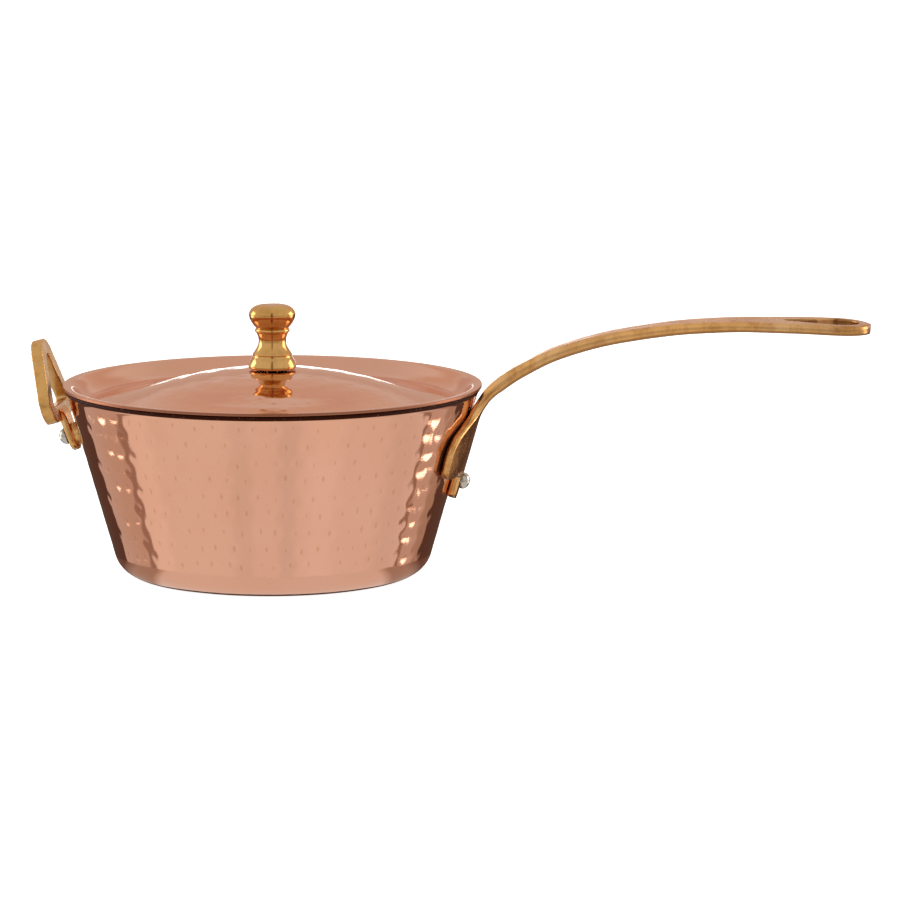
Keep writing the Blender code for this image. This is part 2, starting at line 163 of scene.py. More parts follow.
def rounded(keys, step):
    """A smooth curve through key points, with points a step apart."""
    keys = np.array(keys, dtype=float)
    padded = np.vstack([2 * keys[0] - keys[1], keys, 2 * keys[-1] - keys[-2]])
    rows = [keys[0]]
    for i in range(len(keys) - 1):
        before, start, end, after = padded[i:i + 4]
        count = max(2, math.ceil(np.linalg.norm(end - start) / step))
        for t in np.linspace(0, 1, count + 1)[1:]:
            rows.append(0.5 * (
                2 * start + (end - before) * t
                + (2 * before - 5 * start + 4 * end - after) * t**2
                + (3 * start - before - 3 * end + after) * t**3
            ))
    return np.array(rows)


def moved_down(curve, distance):
    """A curve that runs outwards, moved square to itself to its lower side."""
    tangent = np.gradient(curve, axis=0)
    tangent /= np.linalg.norm(tangent, axis=1)[:, None]
    return curve + distance * np.column_stack([tangent[:, 1], -tangent[:, 0]])


def new_object(name, vertices, faces):
    mesh = bpy.data.meshes.new(name)
    mesh.from_pydata(vertices.tolist(), [], faces)
    mesh.validate()
    obj = bpy.data.objects.new(name, mesh)
    bpy.context.scene.collection.objects.link(obj)
    mesh.shade_smooth()
    return obj


def turned(name, profile, columns, relief=None, ring=False):
    """Turns a profile of (radius, height) about Z, closed at its ends where the radius is 0.

    relief(along, profile, angles) gives how far each point stands out and its painted shade and dullness,
    where along is the distance on the profile. A ring's profile joins up with its own start.
    """
    profile = np.array(profile, dtype=float)
    if ring:
        profile = np.vstack([profile, profile[:1]])
    tangent = np.gradient(profile, axis=0)
    tangent /= np.maximum(np.linalg.norm(tangent, axis=1), 1e-12)[:, None]
    normal = np.column_stack([-tangent[:, 1], tangent[:, 0]])
    along = np.concatenate([[0.0], np.cumsum(np.linalg.norm(np.diff(profile, axis=0), axis=1))])
    angles = np.linspace(0, 2 * math.pi, columns, endpoint=False)
    out = shade_and_dull = np.zeros((len(profile), columns))
    if relief:
        out, shade_and_dull = relief(along, profile, angles)
    radius = profile[:, :1] + normal[:, :1] * out
    height = profile[:, 1:] + normal[:, 1:] * out
    grid = np.stack([radius * np.cos(angles), radius * np.sin(angles), height], axis=-1)
    rows = grid[:-1] if ring else grid
    vertices, shade_and_dullness, starts = [], [], []
    for row, shade_and_dull_row, (r, _) in zip(rows, shade_and_dull, profile):
        size = 1 if r < 1e-7 else columns
        starts.append(sum(map(len, vertices)))
        vertices.append(row[:size])
        shade_and_dullness.append(shade_and_dull_row[:size])
    faces = []
    for i in range(len(rows) if ring else len(rows) - 1):
        j = (i + 1) % len(rows)
        faces += band(starts[i], len(vertices[i]), starts[j], len(vertices[j]), columns)
    obj = new_object(name, np.vstack(vertices), faces)
    store_shade_and_dullness(obj, np.concatenate(shade_and_dullness))
    return obj


# stores the painted shade and dullness of each point
def store_shade_and_dullness(obj, values):
    layer = obj.data.attributes.new(SHADE_AND_DULLNESS, "FLOAT", "POINT")
    layer.data.foreach_set("value", values)


def band(low, low_count, high, high_count, columns):
    """Faces between two rings of a turned shape, either of which may be a single point."""
    faces = []
    for j in range(columns):
        k = (j + 1) % columns
        if low_count == 1:
            faces.append((low, high + j, high + k))
        elif high_count == 1:
            faces.append((low + j, high, low + k))
        else:
            faces.append((low + j, high + j, high + k, low + k))
    return faces


def evaluated_copy(obj, name):
    """A new object with the evaluated mesh of another, which is removed."""
    bpy.context.view_layer.update()
    depsgraph = bpy.context.evaluated_depsgraph_get()
    mesh = bpy.data.meshes.new_from_object(obj.evaluated_get(depsgraph))
    mesh.transform(obj.matrix_world)
    bpy.data.objects.remove(obj)
    mesh.name = name
    result = bpy.data.objects.new(name, mesh)
    bpy.context.scene.collection.objects.link(result)
    mesh.shade_smooth()
    return result


def subtract(obj, cutter):
    cut = obj.modifiers.new("cut", "BOOLEAN")
    cut.operation = "DIFFERENCE"
    cut.object = cutter
    cut.solver = "EXACT"


def cast(obj, name, grain, cutter=None):
    """Melts a rough shape into one skin with softened edges, as a casting has."""
    if cutter:
        subtract(obj, cutter)
    skin = obj.modifiers.new("skin", "REMESH")
    skin.mode = "VOXEL"
    skin.voxel_size = grain
    soft = obj.modifiers.new("soft", "SMOOTH")
    soft.factor = 0.5
    soft.iterations = 4
    result = evaluated_copy(obj, name)
    if cutter:
        bpy.data.objects.remove(cutter)
    return result


def joined(objects):
    """Puts several meshes into the first one, as loose shells."""
    bm = bmesh.new()
    for obj in objects:
        obj.data.transform(obj.matrix_world)
        bm.from_mesh(obj.data)
    keep = objects[0]
    keep.matrix_world = Matrix.Identity(4)
    bm.to_mesh(keep.data)
    bm.free()
    for obj in objects[1:]:
        bpy.data.objects.remove(obj)
    return keep


# ------------------------ hammer marks

def hammer_marks(along, profile, angles, rows, seed, size):
    """How deep each point lies in a hammer mark, about 1 at most.

    A row is (its place on the profile, its number of marks); size is a mark's half width and half length.
    """
    rng = np.random.default_rng(seed)
    depth = np.zeros((len(along), len(angles)))
    step = 2 * math.pi / len(angles)
    for k, (where, count) in enumerate(rows):
        spacing = 2 * math.pi / count
        for n in range(count):
            centre = where + rng.normal(0, MARK_SCATTER) * MARK_ROW
            angle = (n + 0.5 * (k % 2) + rng.normal(0, MARK_SCATTER)) * spacing
            strength = rng.uniform(0.7, 1.15)
            width, length = size * rng.uniform(0.85, 1.2, 2)
            i = np.flatnonzero(np.abs(along - centre) < MARK_REACH * length)
            if not len(i):
                continue
            radius = profile[i, 0].mean()
            reach = math.ceil(MARK_REACH * width / radius / step)
            middle = round(angle / step)
            j = np.arange(middle - reach, middle + reach + 1)
            across = (j * step - angle) * radius / width
            down = (along[i] - centre) / length
            mark = np.exp(-(down[:, None] ** 2 + across[None, :] ** 2))
            depth[np.ix_(i, j % len(angles))] += strength * mark
    return depth


def slow_waves(along, angles, seed, height):
    """Broad unevenness left by hammering, a few centimetres across."""
    rng = np.random.default_rng(seed)
    out = np.zeros((len(along), len(angles)))
    steepest = 55.0                 # radians of phase for each metre along the profile
    for turns in range(5, 16):
        phase, tilt = rng.uniform(0, 2 * math.pi, 2)
        wave = np.sin(turns * angles[None, :] + phase + steepest * math.sin(tilt) * along[:, None])
        out += height * rng.uniform(0.4, 1.0) * wave / turns
    return out


# ------------------------ copper pan

def wall_radius(height):
    return WALL_TOP_RADIUS - WALL_SLOPE * (RIM_HEIGHT - height)


def pan_corner(inset, steps):
    """The rounded corner between wall and base, moved in by an inset."""
    centre = wall_radius(CORNER_RADIUS) - CORNER_RADIUS / math.cos(WALL_ANGLE)
    return arc((centre, CORNER_RADIUS), CORNER_RADIUS - inset, -math.degrees(WALL_ANGLE), -90, steps)


def lip(inset):
    """The turned-out rim, from its outer edge down to the straight wall."""
    shift = inset / math.cos(WALL_ANGLE)
    base = RIM_HEIGHT - LIP_HEIGHT
    start = Vector((RIM_RADIUS - LIP_OVERHANG - shift, RIM_HEIGHT - 0.15 * MM))
    bend = Vector((wall_radius(base) - shift, base))
    end = Vector((wall_radius(base - 0.35 * LIP_HEIGHT) - shift, base - 0.35 * LIP_HEIGHT))
    top = start.lerp(bend, 0.45)
    curve = [(1 - t)**2 * top + 2 * t * (1 - t) * bend + t**2 * end for t in np.linspace(0, 1, LIP_STEPS)]
    return [tuple(start)] + [tuple(p) for p in curve]


def pan_outside():
    points = lip(0.0)
    points += finer([points[-1], pan_corner(0.0, 2)[0]], 0.6 * MM).tolist()[1:-1]
    points += pan_corner(0.0, 22)
    edge = points[-1][0]
    return points + finer([(edge, 0.0), (0.0, 0.0)], 3.5 * MM).tolist()[1:]


def layer_inside(inset):
    """A layer's inner face, from the centre of the floor up to the rim."""
    corner = pan_corner(inset, 14)
    floor = finer([(0.0, inset), (corner[-1][0], inset)], 4.0 * MM).tolist()[:-1]
    wall = finer([corner[0], lip(inset)[-1]], 4.0 * MM).tolist()[1:-1]
    return floor + corner[::-1] + wall + lip(inset)[::-1]


def beside_foot(points, angles):
    """1 in the strip of wall beside the long handle's foot, where the foot's shadow is painted, and 0
    elsewhere.
    """
    heights, halves = np.array([(z * MM, half * MM) for z, half, _, _ in LONG_FOOT]).T
    radius, height = points[:, :1], points[:, 1:]
    sideways = np.abs((angles + math.pi) % (2 * math.pi) - math.pi)[None, :] * radius
    edge = np.interp(height, heights, halves) + 3.2 * MM
    level = ramp(height, 46 * MM, 50 * MM) * ramp(height, 73 * MM, 69 * MM)
    return ramp(edge - sideways, 0, 1.2 * MM) * level


def make_pan_body():
    """The copper pan, with hammer marks in its outer face, painted shade in their middles, and painted shadow
    by the foot and under the rim.
    """
    inside = layer_inside(COPPER)
    edge = RIM_RADIUS - LIP_OVERHANG
    crown = [(edge - inward, RIM_HEIGHT) for inward in (0.85 * COPPER, 0.3 * COPPER, 0.1 * MM)]
    profile = np.array(inside + crown + pan_outside())
    rim = len(inside) + len(crown)
    wall = rim + LIP_STEPS + 1

    def relief(along, points, angles):
        start = along[wall] + 2.2 * MM
        end = along[wall] + (RIM_HEIGHT - CORNER_RADIUS) / math.cos(WALL_ANGLE) - 1.0 * MM
        count = round(2 * math.pi * wall_radius(0.5 * RIM_HEIGHT) / MARK_PITCH)
        rows = [(place, count) for place in np.arange(start, end, MARK_ROW)]
        dents = hammer_marks(along, points, angles, rows, 7, DENT)
        dents[:wall] = 0.0
        fade = ramp(along, along[wall], along[wall] + 6 * MM) * ramp(points[:, 0], 0, 50 * MM)
        waves = slow_waves(along, angles, 11, 0.07 * MM) * fade[:, None]
        # painted shade in the middle of each hammer mark
        shade_and_dull = hammer_marks(along, points, angles, rows, 7, MARK_SHADE)
        # painted shadow in the strip of wall beside the long handle's foot
        shade_and_dull = np.maximum(shade_and_dull, 0.8 * PAINTED_SHADOW * beside_foot(points, angles))
        shade_and_dull[:wall] = 0.0
        # painted near-black shadow on the lip under the rim
        shade_and_dull[rim + PAINTED_SHADOW_ROWS[0]:rim + PAINTED_SHADOW_ROWS[1]] = PAINTED_SHADOW
        return waves - MARK_DEPTH * dents, shade_and_dull

    return turned("pan_body", profile, 960, relief)


def make_pan_liner():
    """The inner skin, which follows the copper at a small gap."""
    inset = COPPER + GAP
    inside = layer_inside(inset + LINING)
    outside = layer_inside(inset)[::-1]
    return turned("pan_liner", inside + outside, 256)


# ------------------------ lid

def lid_top():
    """The lid's top face from the screw's hole out over the dome, the trough and the flange."""
    centre = DOME_TOP - DOME_RADIUS
    radii = np.linspace(SCREW_BORE, DOME_EDGE, 70)
    dome = [(r, centre + math.sqrt(DOME_RADIUS**2 - r**2)) for r in radii]
    slope = -DOME_EDGE / math.sqrt(DOME_RADIUS**2 - DOME_EDGE**2)
    flange = RIM_RADIUS - FLANGE_WIDTH
    skirt = rounded([
        (DOME_EDGE - 3 * MM, dome[-1][1] - slope * 3 * MM),
        dome[-1],
        (66.1 * MM, TROUGH_HEIGHT + 1.4 * MM),
        (TROUGH_RADIUS, TROUGH_HEIGHT),
        (TROUGH_RADIUS + 2.8 * MM, TROUGH_HEIGHT + 0.6 * MM),
        (TROUGH_RADIUS + 5.2 * MM, TROUGH_HEIGHT + 2.2 * MM),
        (flange - 2.2 * MM, FLANGE_TOP - 2.1 * MM),
        (flange - 1.0 * MM, FLANGE_TOP - 0.8 * MM),
        (flange, FLANGE_TOP - 0.15 * MM),
        (flange + 0.8 * MM, FLANGE_TOP),
    ], 0.6 * MM)
    return dome + [tuple(p) for p in skirt if p[0] > DOME_EDGE + 0.2 * MM]


def flange_edge():
    """The flange's cut edge, with both of its corners rounded."""
    corner = 0.25 * MM
    edge = arc((RIM_RADIUS - corner, FLANGE_TOP - corner), corner, 90, 0, EDGE_STEPS)
    return edge + arc((RIM_RADIUS - corner, FLANGE_TOP - COPPER + corner), corner, 0, -90, EDGE_STEPS)


def make_lid_shell():
    """The copper lid, with rings of hammer marks in its dome, painted shade in their middles, and a cut edge
    painted brown as shade and made rougher.
    """
    edge = flange_edge()
    top = finer(lid_top() + [edge[0]], 0.9 * MM)
    under = moved_down(top, COPPER)
    profile = np.vstack([top, edge[1:], under[:-1][::-1]])
    count = len(top)

    def relief(along, points, angles):
        radius = points[:, :1]
        rows = []
        for place in np.arange(14 * MM, 72 * MM, LID_MARK_ROW):
            where = along[np.abs(points[:count, 0] - place).argmin()]
            rows.append((where, max(8, round(2 * math.pi * place / (1.05 * MARK_PITCH)))))
        dents = hammer_marks(along, points, angles, rows, 23, LID_DENT)
        drift = 0.9 * np.sin(3 * angles + 1.0) + 0.5 * np.sin(7 * angles)
        rings = LID_RING_DEPTH * np.sin(2 * math.pi * radius / LID_RING_PITCH + drift[None, :])
        rings *= ramp(radius, 60 * MM, 48 * MM) * ramp(radius, 0, 14 * MM)
        waves = slow_waves(along, angles, 29, 0.05 * MM) * ramp(radius, 0, 60 * MM)
        fade = ramp(along, along[count - 1], along[count - 1] - 12 * MM)[:, None]
        # painted shade in the middle of each hammer mark
        shade_and_dull = 0.9 * hammer_marks(along, points, angles, rows, 23, LID_MARK_SHADE) * fade
        # the cut edge is painted brown as shade
        shade_and_dull[count:count + len(edge) - 1] = CUT_EDGE_SHADE
        return (waves + rings - LID_MARK_DEPTH * dents) * fade, shade_and_dull

    return turned("lid_shell", profile, 720, relief, ring=True)


def make_lid_liner():
    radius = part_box("lid_lining")[1].x
    top = np.array([p for p in lid_top() if p[0] < radius - 1.2 * MM])
    upper = moved_down(top, COPPER + GAP)
    lower = moved_down(top, COPPER + GAP + LID_LINING)
    return turned("lid_liner", np.vstack([upper, lower[::-1]]), 256, ring=True)


# ------------------------ knob, screw and washer

def make_knob():
    """From the top: the bulb, a collar, the waist, the foot and the blind bore for the screw."""
    base = KNOB_LOW.z
    top = (KNOB_HIGH.z - base) / MM
    bulb = rounded(in_mm([
        (0.0, top), (3.5, top - 0.05), (6.4, top - 0.35), (8.6, top - 1.5), (9.8, top - 3.1),
        (10.0, top - 4.5), (9.4, top - 6.7), (8.2, top - 8.7), (7.0, 17.5),
    ]), 0.35 * MM)
    collar = rounded(in_mm([
        (6.95, 17.3), (7.35, 17.0), (7.5, 16.4), (7.3, 15.8), (6.9, 15.5),
    ]), 0.2 * MM)
    waist = rounded(in_mm([
        (6.75, 15.2), (6.15, 13.6), (5.9, 12.0), (6.2, 10.2), (7.2, 8.2), (8.55, 6.2),
    ]), 0.35 * MM)
    foot = rounded(in_mm([
        (8.35, 5.75), (8.5, 5.2), (9.3, 3.9), (10.0, 2.4), (10.3, 1.2), (10.25, 0.5), (9.9, 0.0),
    ]), 0.3 * MM)
    depth = 15.3 * MM
    bore = [(SCREW_BORE, 0.0), (SCREW_BORE, depth), (0.0, depth)]
    profile = np.vstack([bulb, collar, waist, foot, bore])
    profile[:, 1] += base
    knob = turned("knob_turning", profile, 160)
    sharpen(knob, 40)
    return knob


def sharpen(obj, angle):
    """Draws edges steeper than an angle in degrees as sharp."""
    obj.data.set_sharp_from_angle(angle=math.radians(angle))


def make_screw():
    """A threaded shank, and a low domed head below it with two crossed slots."""
    low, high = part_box("knob_screw")
    head, head_radius, dome = low.z + 2.4 * MM, (high.x - low.x) / 2, 6.0 * MM
    crest, root, pitch = 2.0 * MM, 1.65 * MM, 0.8 * MM
    thread_top, thread_end = high.z - 0.6 * MM, head + 3.2 * MM
    profile = [(0.0, high.z), (1.7 * MM, high.z), (crest, high.z - 0.4 * MM)]
    for i in range(int((thread_top - thread_end) / pitch)):
        z = thread_top - i * pitch
        profile += [(crest, z), (root, z - 0.5 * pitch)]
    profile += [(crest, thread_end), (crest, head), (head_radius, head), (head_radius, head - 0.5 * MM)]
    profile += arc((0.0, low.z + dome), dome, -46, -90, 8)[1:]
    screw = turned("screw_turning", profile, 64)
    sharpen(screw, 35)
    width, depth = 0.9 * MM, 2.0 * MM
    sizes = ((5.04 * MM, width, depth), (width, 5.0 * MM, depth))
    slots = [box_cutter((0, 0, low.z), size) for size in sizes]
    for slot in slots:
        subtract(screw, slot)
    result = evaluated_copy(screw, "knob_screw_detail")
    for slot in slots:
        bpy.data.objects.remove(slot)
    sharpen(result, 35)
    return result


def box_cutter(centre, size):
    bm = bmesh.new()
    bmesh.ops.create_cube(bm, size=1.0)
    bmesh.ops.scale(bm, vec=size, verts=bm.verts)
    bmesh.ops.translate(bm, vec=centre, verts=bm.verts)
    mesh = bpy.data.meshes.new("cutter")
    bm.to_mesh(mesh)
    bm.free()
    obj = bpy.data.objects.new("cutter", mesh)
    bpy.context.scene.collection.objects.link(obj)
    return obj


def make_washer():
    low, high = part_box("knob_washer")
    radius, edge = high.x, 0.2 * MM
    profile = [
        (SCREW_BORE, high.z), (radius - edge, high.z), (radius, high.z - edge),
        (radius, low.z + edge), (radius - edge, low.z), (SCREW_BORE, low.z),
    ]
    washer = turned("washer_ring", finer(profile, 1.0 * MM), 96, ring=True)
    sharpen(washer, 35)
    return washer


# ------------------------ rivets

def rivet_frame(height, side):
    """Where a rivet crosses the wall's outer face, its +Z pointing out. Side is 1 at +X and -1 at -X."""
    turn = Matrix.Rotation(math.radians(90) + WALL_ANGLE, 4, "Y")
    spot = Matrix.Translation((wall_radius(height), 0.0, height)) @ turn
    return spot if side > 0 else Matrix.Rotation(math.pi, 4, "Z") @ spot


def make_rivet(name, height, side, stand_off):
    """A peened dome outside the handle and a flatter tail inside the pan."""
    head, rise, rim = 3.6 * MM, 3.4 * MM, 0.35 * MM
    shank, tail = 2.4 * MM, 4.0 * MM
    outer = stand_off + 2.0 * GAP
    inner = -(COPPER + GAP + LINING) - 1.6 * GAP
    angles = np.linspace(0, 0.5 * math.pi, 20)
    dome = [(head * math.sin(a) ** 0.9, outer + rim + (rise - rim) * math.cos(a)) for a in angles]
    middle = [(head, outer + 0.15 * MM), (head - 0.2 * MM, outer), (shank, outer), (shank, inner)]
    back = rounded([
        (tail - 0.1 * MM, inner), (tail, inner - 0.3 * MM), (0.8 * tail, inner - 1.0 * MM),
        (0.45 * tail, inner - 1.35 * MM), (0.0, inner - 1.4 * MM),
    ], 0.3 * MM)

    def relief(along, points, angles):
        """Faint facets left by peening the dome."""
        facets = 0.03 * MM * np.sin(3 * angles[None, :] + 900 * along[:, None]) * np.cos(2 * angles[None, :])
        facets *= ramp(points[:, :1], 0, 2 * MM) * (points[:, 1:] > outer)
        return facets, np.zeros_like(facets)

    rivet = turned(name, np.vstack([dome, middle, back]), 64, relief)
    rivet.data.transform(rivet_frame(height, side))
    sharpen(rivet, 50)
    return rivet


# ------------------------ long handle

def through_keys(keys, count):
    """Reads rows of key values as smooth curves with no overshoot, at even distances along the strap."""
    table = np.array(keys, dtype=float)
    steps = np.hypot(*np.diff(table[:, :2], axis=0).T)
    along = np.concatenate([[0.0], np.cumsum(steps)])
    slopes = np.diff(table, axis=0) / steps[:, None]
    tangents = np.zeros_like(table)
    tangents[0], tangents[-1] = slopes[0], slopes[-1]
    before, after = slopes[:-1], slopes[1:]
    same_way = before * after > 0
    tangents[1:-1][same_way] = 2 * before[same_way] * after[same_way] / (before + after)[same_way]
    rows = []
    for distance in np.linspace(0, along[-1], count):
        i = min(np.searchsorted(along, distance, side="right") - 1, len(steps) - 1)
        t = (distance - along[i]) / steps[i]
        rows.append(
            (2 * t**3 - 3 * t**2 + 1) * table[i]
            + (t**3 - 2 * t**2 + t) * steps[i] * tangents[i]
            + (3 * t**2 - 2 * t**3) * table[i + 1]
            + (t**3 - t**2) * steps[i] * tangents[i + 1]
        )
    return np.array(rows)


def strap_section(half_width, thickness, strips):
    """A strap's cross-section: a flat rectangle with rounded corners."""
    corner = min(0.38 * thickness, 0.9 * half_width)
    flat_x, flat_y = half_width - corner, 0.5 * thickness - corner
    across = [flat_x * (1 - 2 * i / strips) for i in range(1, strips)]
    outer = arc((flat_x, flat_y), corner, 0, 90, 5) + [(x, 0.5 * thickness) for x in across]
    outer += arc((-flat_x, flat_y), corner, 90, 180, 5)
    return outer + [(-x, -y) for x, y in outer]


def strap(name, rows, strips=26):
    """Lofts sections along a centreline in the XZ plane. A row is x, z, half width, thickness, hug.

    Where hug is 1 the section bends round the pan's axis and lies on the wall; where it is 0 it is flat.
    """
    tangents = np.gradient(rows[:, :2], axis=0)
    tangents /= np.linalg.norm(tangents, axis=1)[:, None]
    vertices = []
    for (x, z, half_width, thickness, hug), (tx, tz) in zip(rows, tangents):
        for side, out in strap_section(half_width, thickness, strips):
            radius, height, angle = x + out * tz, z - out * tx, side / x
            flat = Vector((radius, side, height))
            bent = Vector((radius * math.cos(angle), radius * math.sin(angle), height))
            vertices.append(tuple(flat.lerp(bent, hug)))
    size = len(vertices) // len(rows)
    faces = [
        (k * size + i, (k + 1) * size + i, (k + 1) * size + (i + 1) % size, k * size + (i + 1) % size)
        for k in range(len(rows) - 1) for i in range(size)
    ]
    faces.append(tuple(range(size)))
    faces.append(tuple(reversed(range(len(vertices) - size, len(vertices)))))
    obj = new_object(name, np.array(vertices), faces)
    bm = bmesh.new()
    bm.from_mesh(obj.data)
    bmesh.ops.recalc_face_normals(bm, faces=bm.faces)
    bm.to_mesh(obj.data)
    bm.free()
    return obj


def round_off(rows, length, at_end):
    """Narrows a strap's last stretch to a half-round end."""
    along = np.concatenate([[0.0], np.cumsum(np.hypot(*np.diff(rows[:, :2], axis=0).T))])
    left = along[-1] - along if at_end else along
    inside = np.clip(1.0 - left / length, 0.0, 0.985)
    rows[:, 2] *= np.sqrt(1.0 - inside**2)
    return rows


def on_wall(height, thickness):
    """Centre of a plate of this thickness that lies on the wall at a height, as (x, z)."""
    out = GAP + 0.5 * thickness
    return wall_radius(height) + out * math.cos(WALL_ANGLE), height - out * math.sin(WALL_ANGLE)


def long_handle_keys():
    """From the tab's lower end over the foot and the bend at the rim to the hanging eye."""
    keys = [(*on_wall(z * MM, t), half * MM, t, hug) for z, half, t, hug in LONG_FOOT]
    bend = [
        (91.9, 77.2, 8.0, 4.6, 0.3),
        (94.9, 80.9, 7.5, 5.2, 0.0),
        (98.7, 84.0, 7.2, 5.7, 0.0),
        (107.0, 89.6, 7.0, 5.6, 0.0),
        (124.1, 98.1, 7.0, 5.3, 0.0),
        (149.8, 105.4, 7.6, 5.1, 0.0),
        (183.8, 110.2, 9.2, 4.8, 0.0),
        (206.0, 111.2, 10.8, 4.5, 0.0),
        (224.0, 111.2, 13.2, 4.4, 0.0),
        (EYE_CENTRE / MM, 110.8, EYE_RADIUS / MM, 4.4, 0.0),
        (STRAP_TIP / MM, 110.1, EYE_RADIUS / MM, 4.2, 0.0),
    ]
    return keys + [(x * MM, z * MM, half * MM, t * MM, hug) for x, z, half, t, hug in bend]


def hull_of_circles(circles, count):
    """The outline of a band drawn tight around some circles, each given as ((x, y), radius)."""
    points = []
    for angle in np.linspace(0, 2 * math.pi, count, endpoint=False):
        direction = Vector((math.cos(angle), math.sin(angle)))
        centre, radius = max(circles, key=lambda circle: Vector(circle[0]).dot(direction) + circle[1])
        points.append(tuple(Vector(centre) + radius * direction))
    return points


def prism(name, outline, low, high):
    """An outline in the XY plane, drawn from one height to another."""
    count = len(outline)
    vertices = [(x, y, low) for x, y in outline] + [(x, y, high) for x, y in outline]
    faces = [tuple(reversed(range(count))), tuple(range(count, 2 * count))]
    faces += [(i, (i + 1) % count, count + (i + 1) % count, count + i) for i in range(count)]
    return new_object(name, np.array(vertices), faces)


def make_long_handle():
    rows = through_keys(long_handle_keys(), 420)
    rows = round_off(rows, 2.5 * MM, at_end=False)
    rows = round_off(rows, EYE_RADIUS, at_end=True)
    eye = [((EYE_CENTRE, 0.0), EYE_HOLE), ((EYE_CENTRE - EYE_LENGTH, 0.0), EYE_POINT)]
    cutter = prism("eye_cutter", hull_of_circles(eye, 120), 95 * MM, 125 * MM)
    handle = cast(strap("strap", rows), "long_handle_casting", 0.42 * MM, cutter)
    places = np.empty(3 * len(handle.data.vertices))
    handle.data.vertices.foreach_get("co", places)
    # painted shade in the hanging eye, and darker towards the handle's tip
    store_shade_and_dullness(handle, eye_shade_and_tip_darkening(places.reshape(-1, 3)))
    return handle


def eye_shade_and_tip_darkening(places):
    """1 on the wall of the hanging eye, painted shade in the hole, and elsewhere up to half that towards the
    handle's tip, which is darker there.
    """
    x, y = places[:, 0], places[:, 1]
    margin = 0.5 * MM
    half_hole = EYE_POINT + (EYE_HOLE - EYE_POINT) * ramp(x, EYE_CENTRE - EYE_LENGTH, EYE_CENTRE)
    off_centre = np.hypot(np.maximum(x - EYE_CENTRE, 0.0), y)
    in_eye = (off_centre < half_hole + margin) & (x > EYE_CENTRE - EYE_LENGTH - EYE_POINT - margin)
    return np.maximum(in_eye, 0.5 * ramp(x, 0.5 * STRAP_TIP, STRAP_TIP) ** 1.5)


# ------------------------ loop handle

def loop_outline(shrink):
    """The loop's outline: two lower corners and a narrower round top. Sideways is X and up the loop is Y."""
    height, corner, top, half = 35.8 * MM, 8.5 * MM, 11.0 * MM, 20.5 * MM
    circles = [((side * (half - corner), corner), corner - shrink) for side in (-1, 1)]
    circles.append(((0.0, height - top), top - shrink))
    return hull_of_circles(circles, 120)


def loop_frame():
    """The loop's plane: its sideways becomes Y, and its up leans out from the pan."""
    up = Vector((-math.sin(LOOP_LEAN), 0.0, math.cos(LOOP_LEAN)))
    sideways = Vector((0.0, 1.0, 0.0))
    stand = Matrix((sideways, up, sideways.cross(up))).transposed().to_4x4()
    return Matrix.Translation(LOOP_FOOT) @ stand


def ring_prism(name, outer, inner, depth):
    """A flat ring between two outlines with the same number of points."""
    count = len(outer)
    loops = [(outer, -depth), (outer, depth), (inner, depth), (inner, -depth)]
    vertices = [(x, y, z) for outline, z in loops for x, y in outline]
    faces = [
        (k * count + i, k * count + (i + 1) % count,
         (k + 1) % 4 * count + (i + 1) % count, (k + 1) % 4 * count + i)
        for k in range(4) for i in range(count)
    ]
    return new_object(name, np.array(vertices), faces)


def make_loop_handle():
    """The loop, its riveted tab, and the boss that stands the tab off the wall."""
    loop = ring_prism("loop", loop_outline(0.0), loop_outline(LOOP_BAR), 0.5 * LOOP_THICKNESS)
    loop.data.transform(loop_frame())
    half, thick, flat = 6.0 * MM, 3.0 * MM, 0.0
    keys = [
        (85.4 * MM, 52.2 * MM, half, thick, flat),
        (88.4 * MM, 60.0 * MM, half, thick, flat),
        (91.1 * MM, 67.2 * MM, 1.1 * half, 1.1 * thick, flat),
        (92.8 * MM, 69.6 * MM, 1.2 * half, 1.1 * thick, flat),
    ]
    tab = strap("tab", round_off(through_keys(keys, 60), 4 * MM, at_end=False), 10)
    tab.data.transform(Matrix.Rotation(math.pi, 4, "Z"))
    reach, radius = TAB_STAND_OFF - 0.5 * thick, 5.0 * MM
    boss_profile = [(0.0, reach), (radius, reach), (radius, GAP), (0.0, GAP)]
    boss = turned("boss", finer(boss_profile, 1.0 * MM), 48)
    boss.data.transform(rivet_frame(LOOP_RIVET_HEIGHT, -1))
    return cast(joined([loop, tab, boss]), "loop_handle_casting", 0.36 * MM)


# ------------------------ materials

def math_node(tree, operation, first, second):
    node = tree.nodes.new("ShaderNodeMath")
    node.operation = operation
    for i, value in enumerate((first, second)):
        if isinstance(value, (int, float)):
            node.inputs[i].default_value = value
        else:
            tree.links.new(value, node.inputs[i])
    return node.outputs["Value"]


def mix_node(tree, factor, first, second):
    """Mixes two colours, each of which is a tuple or another node's output."""
    node = tree.nodes.new("ShaderNodeMix")
    node.data_type = "RGBA"
    tree.links.new(factor, node.inputs["Factor"])
    for name, value in (("A", first), ("B", second)):
        socket = next(s for s in node.inputs if s.name == name and s.type == "RGBA")
        if isinstance(value, tuple):
            socket.default_value = (*value, 1.0)
        else:
            tree.links.new(value, socket)
    return next(s for s in node.outputs if s.type == "RGBA")


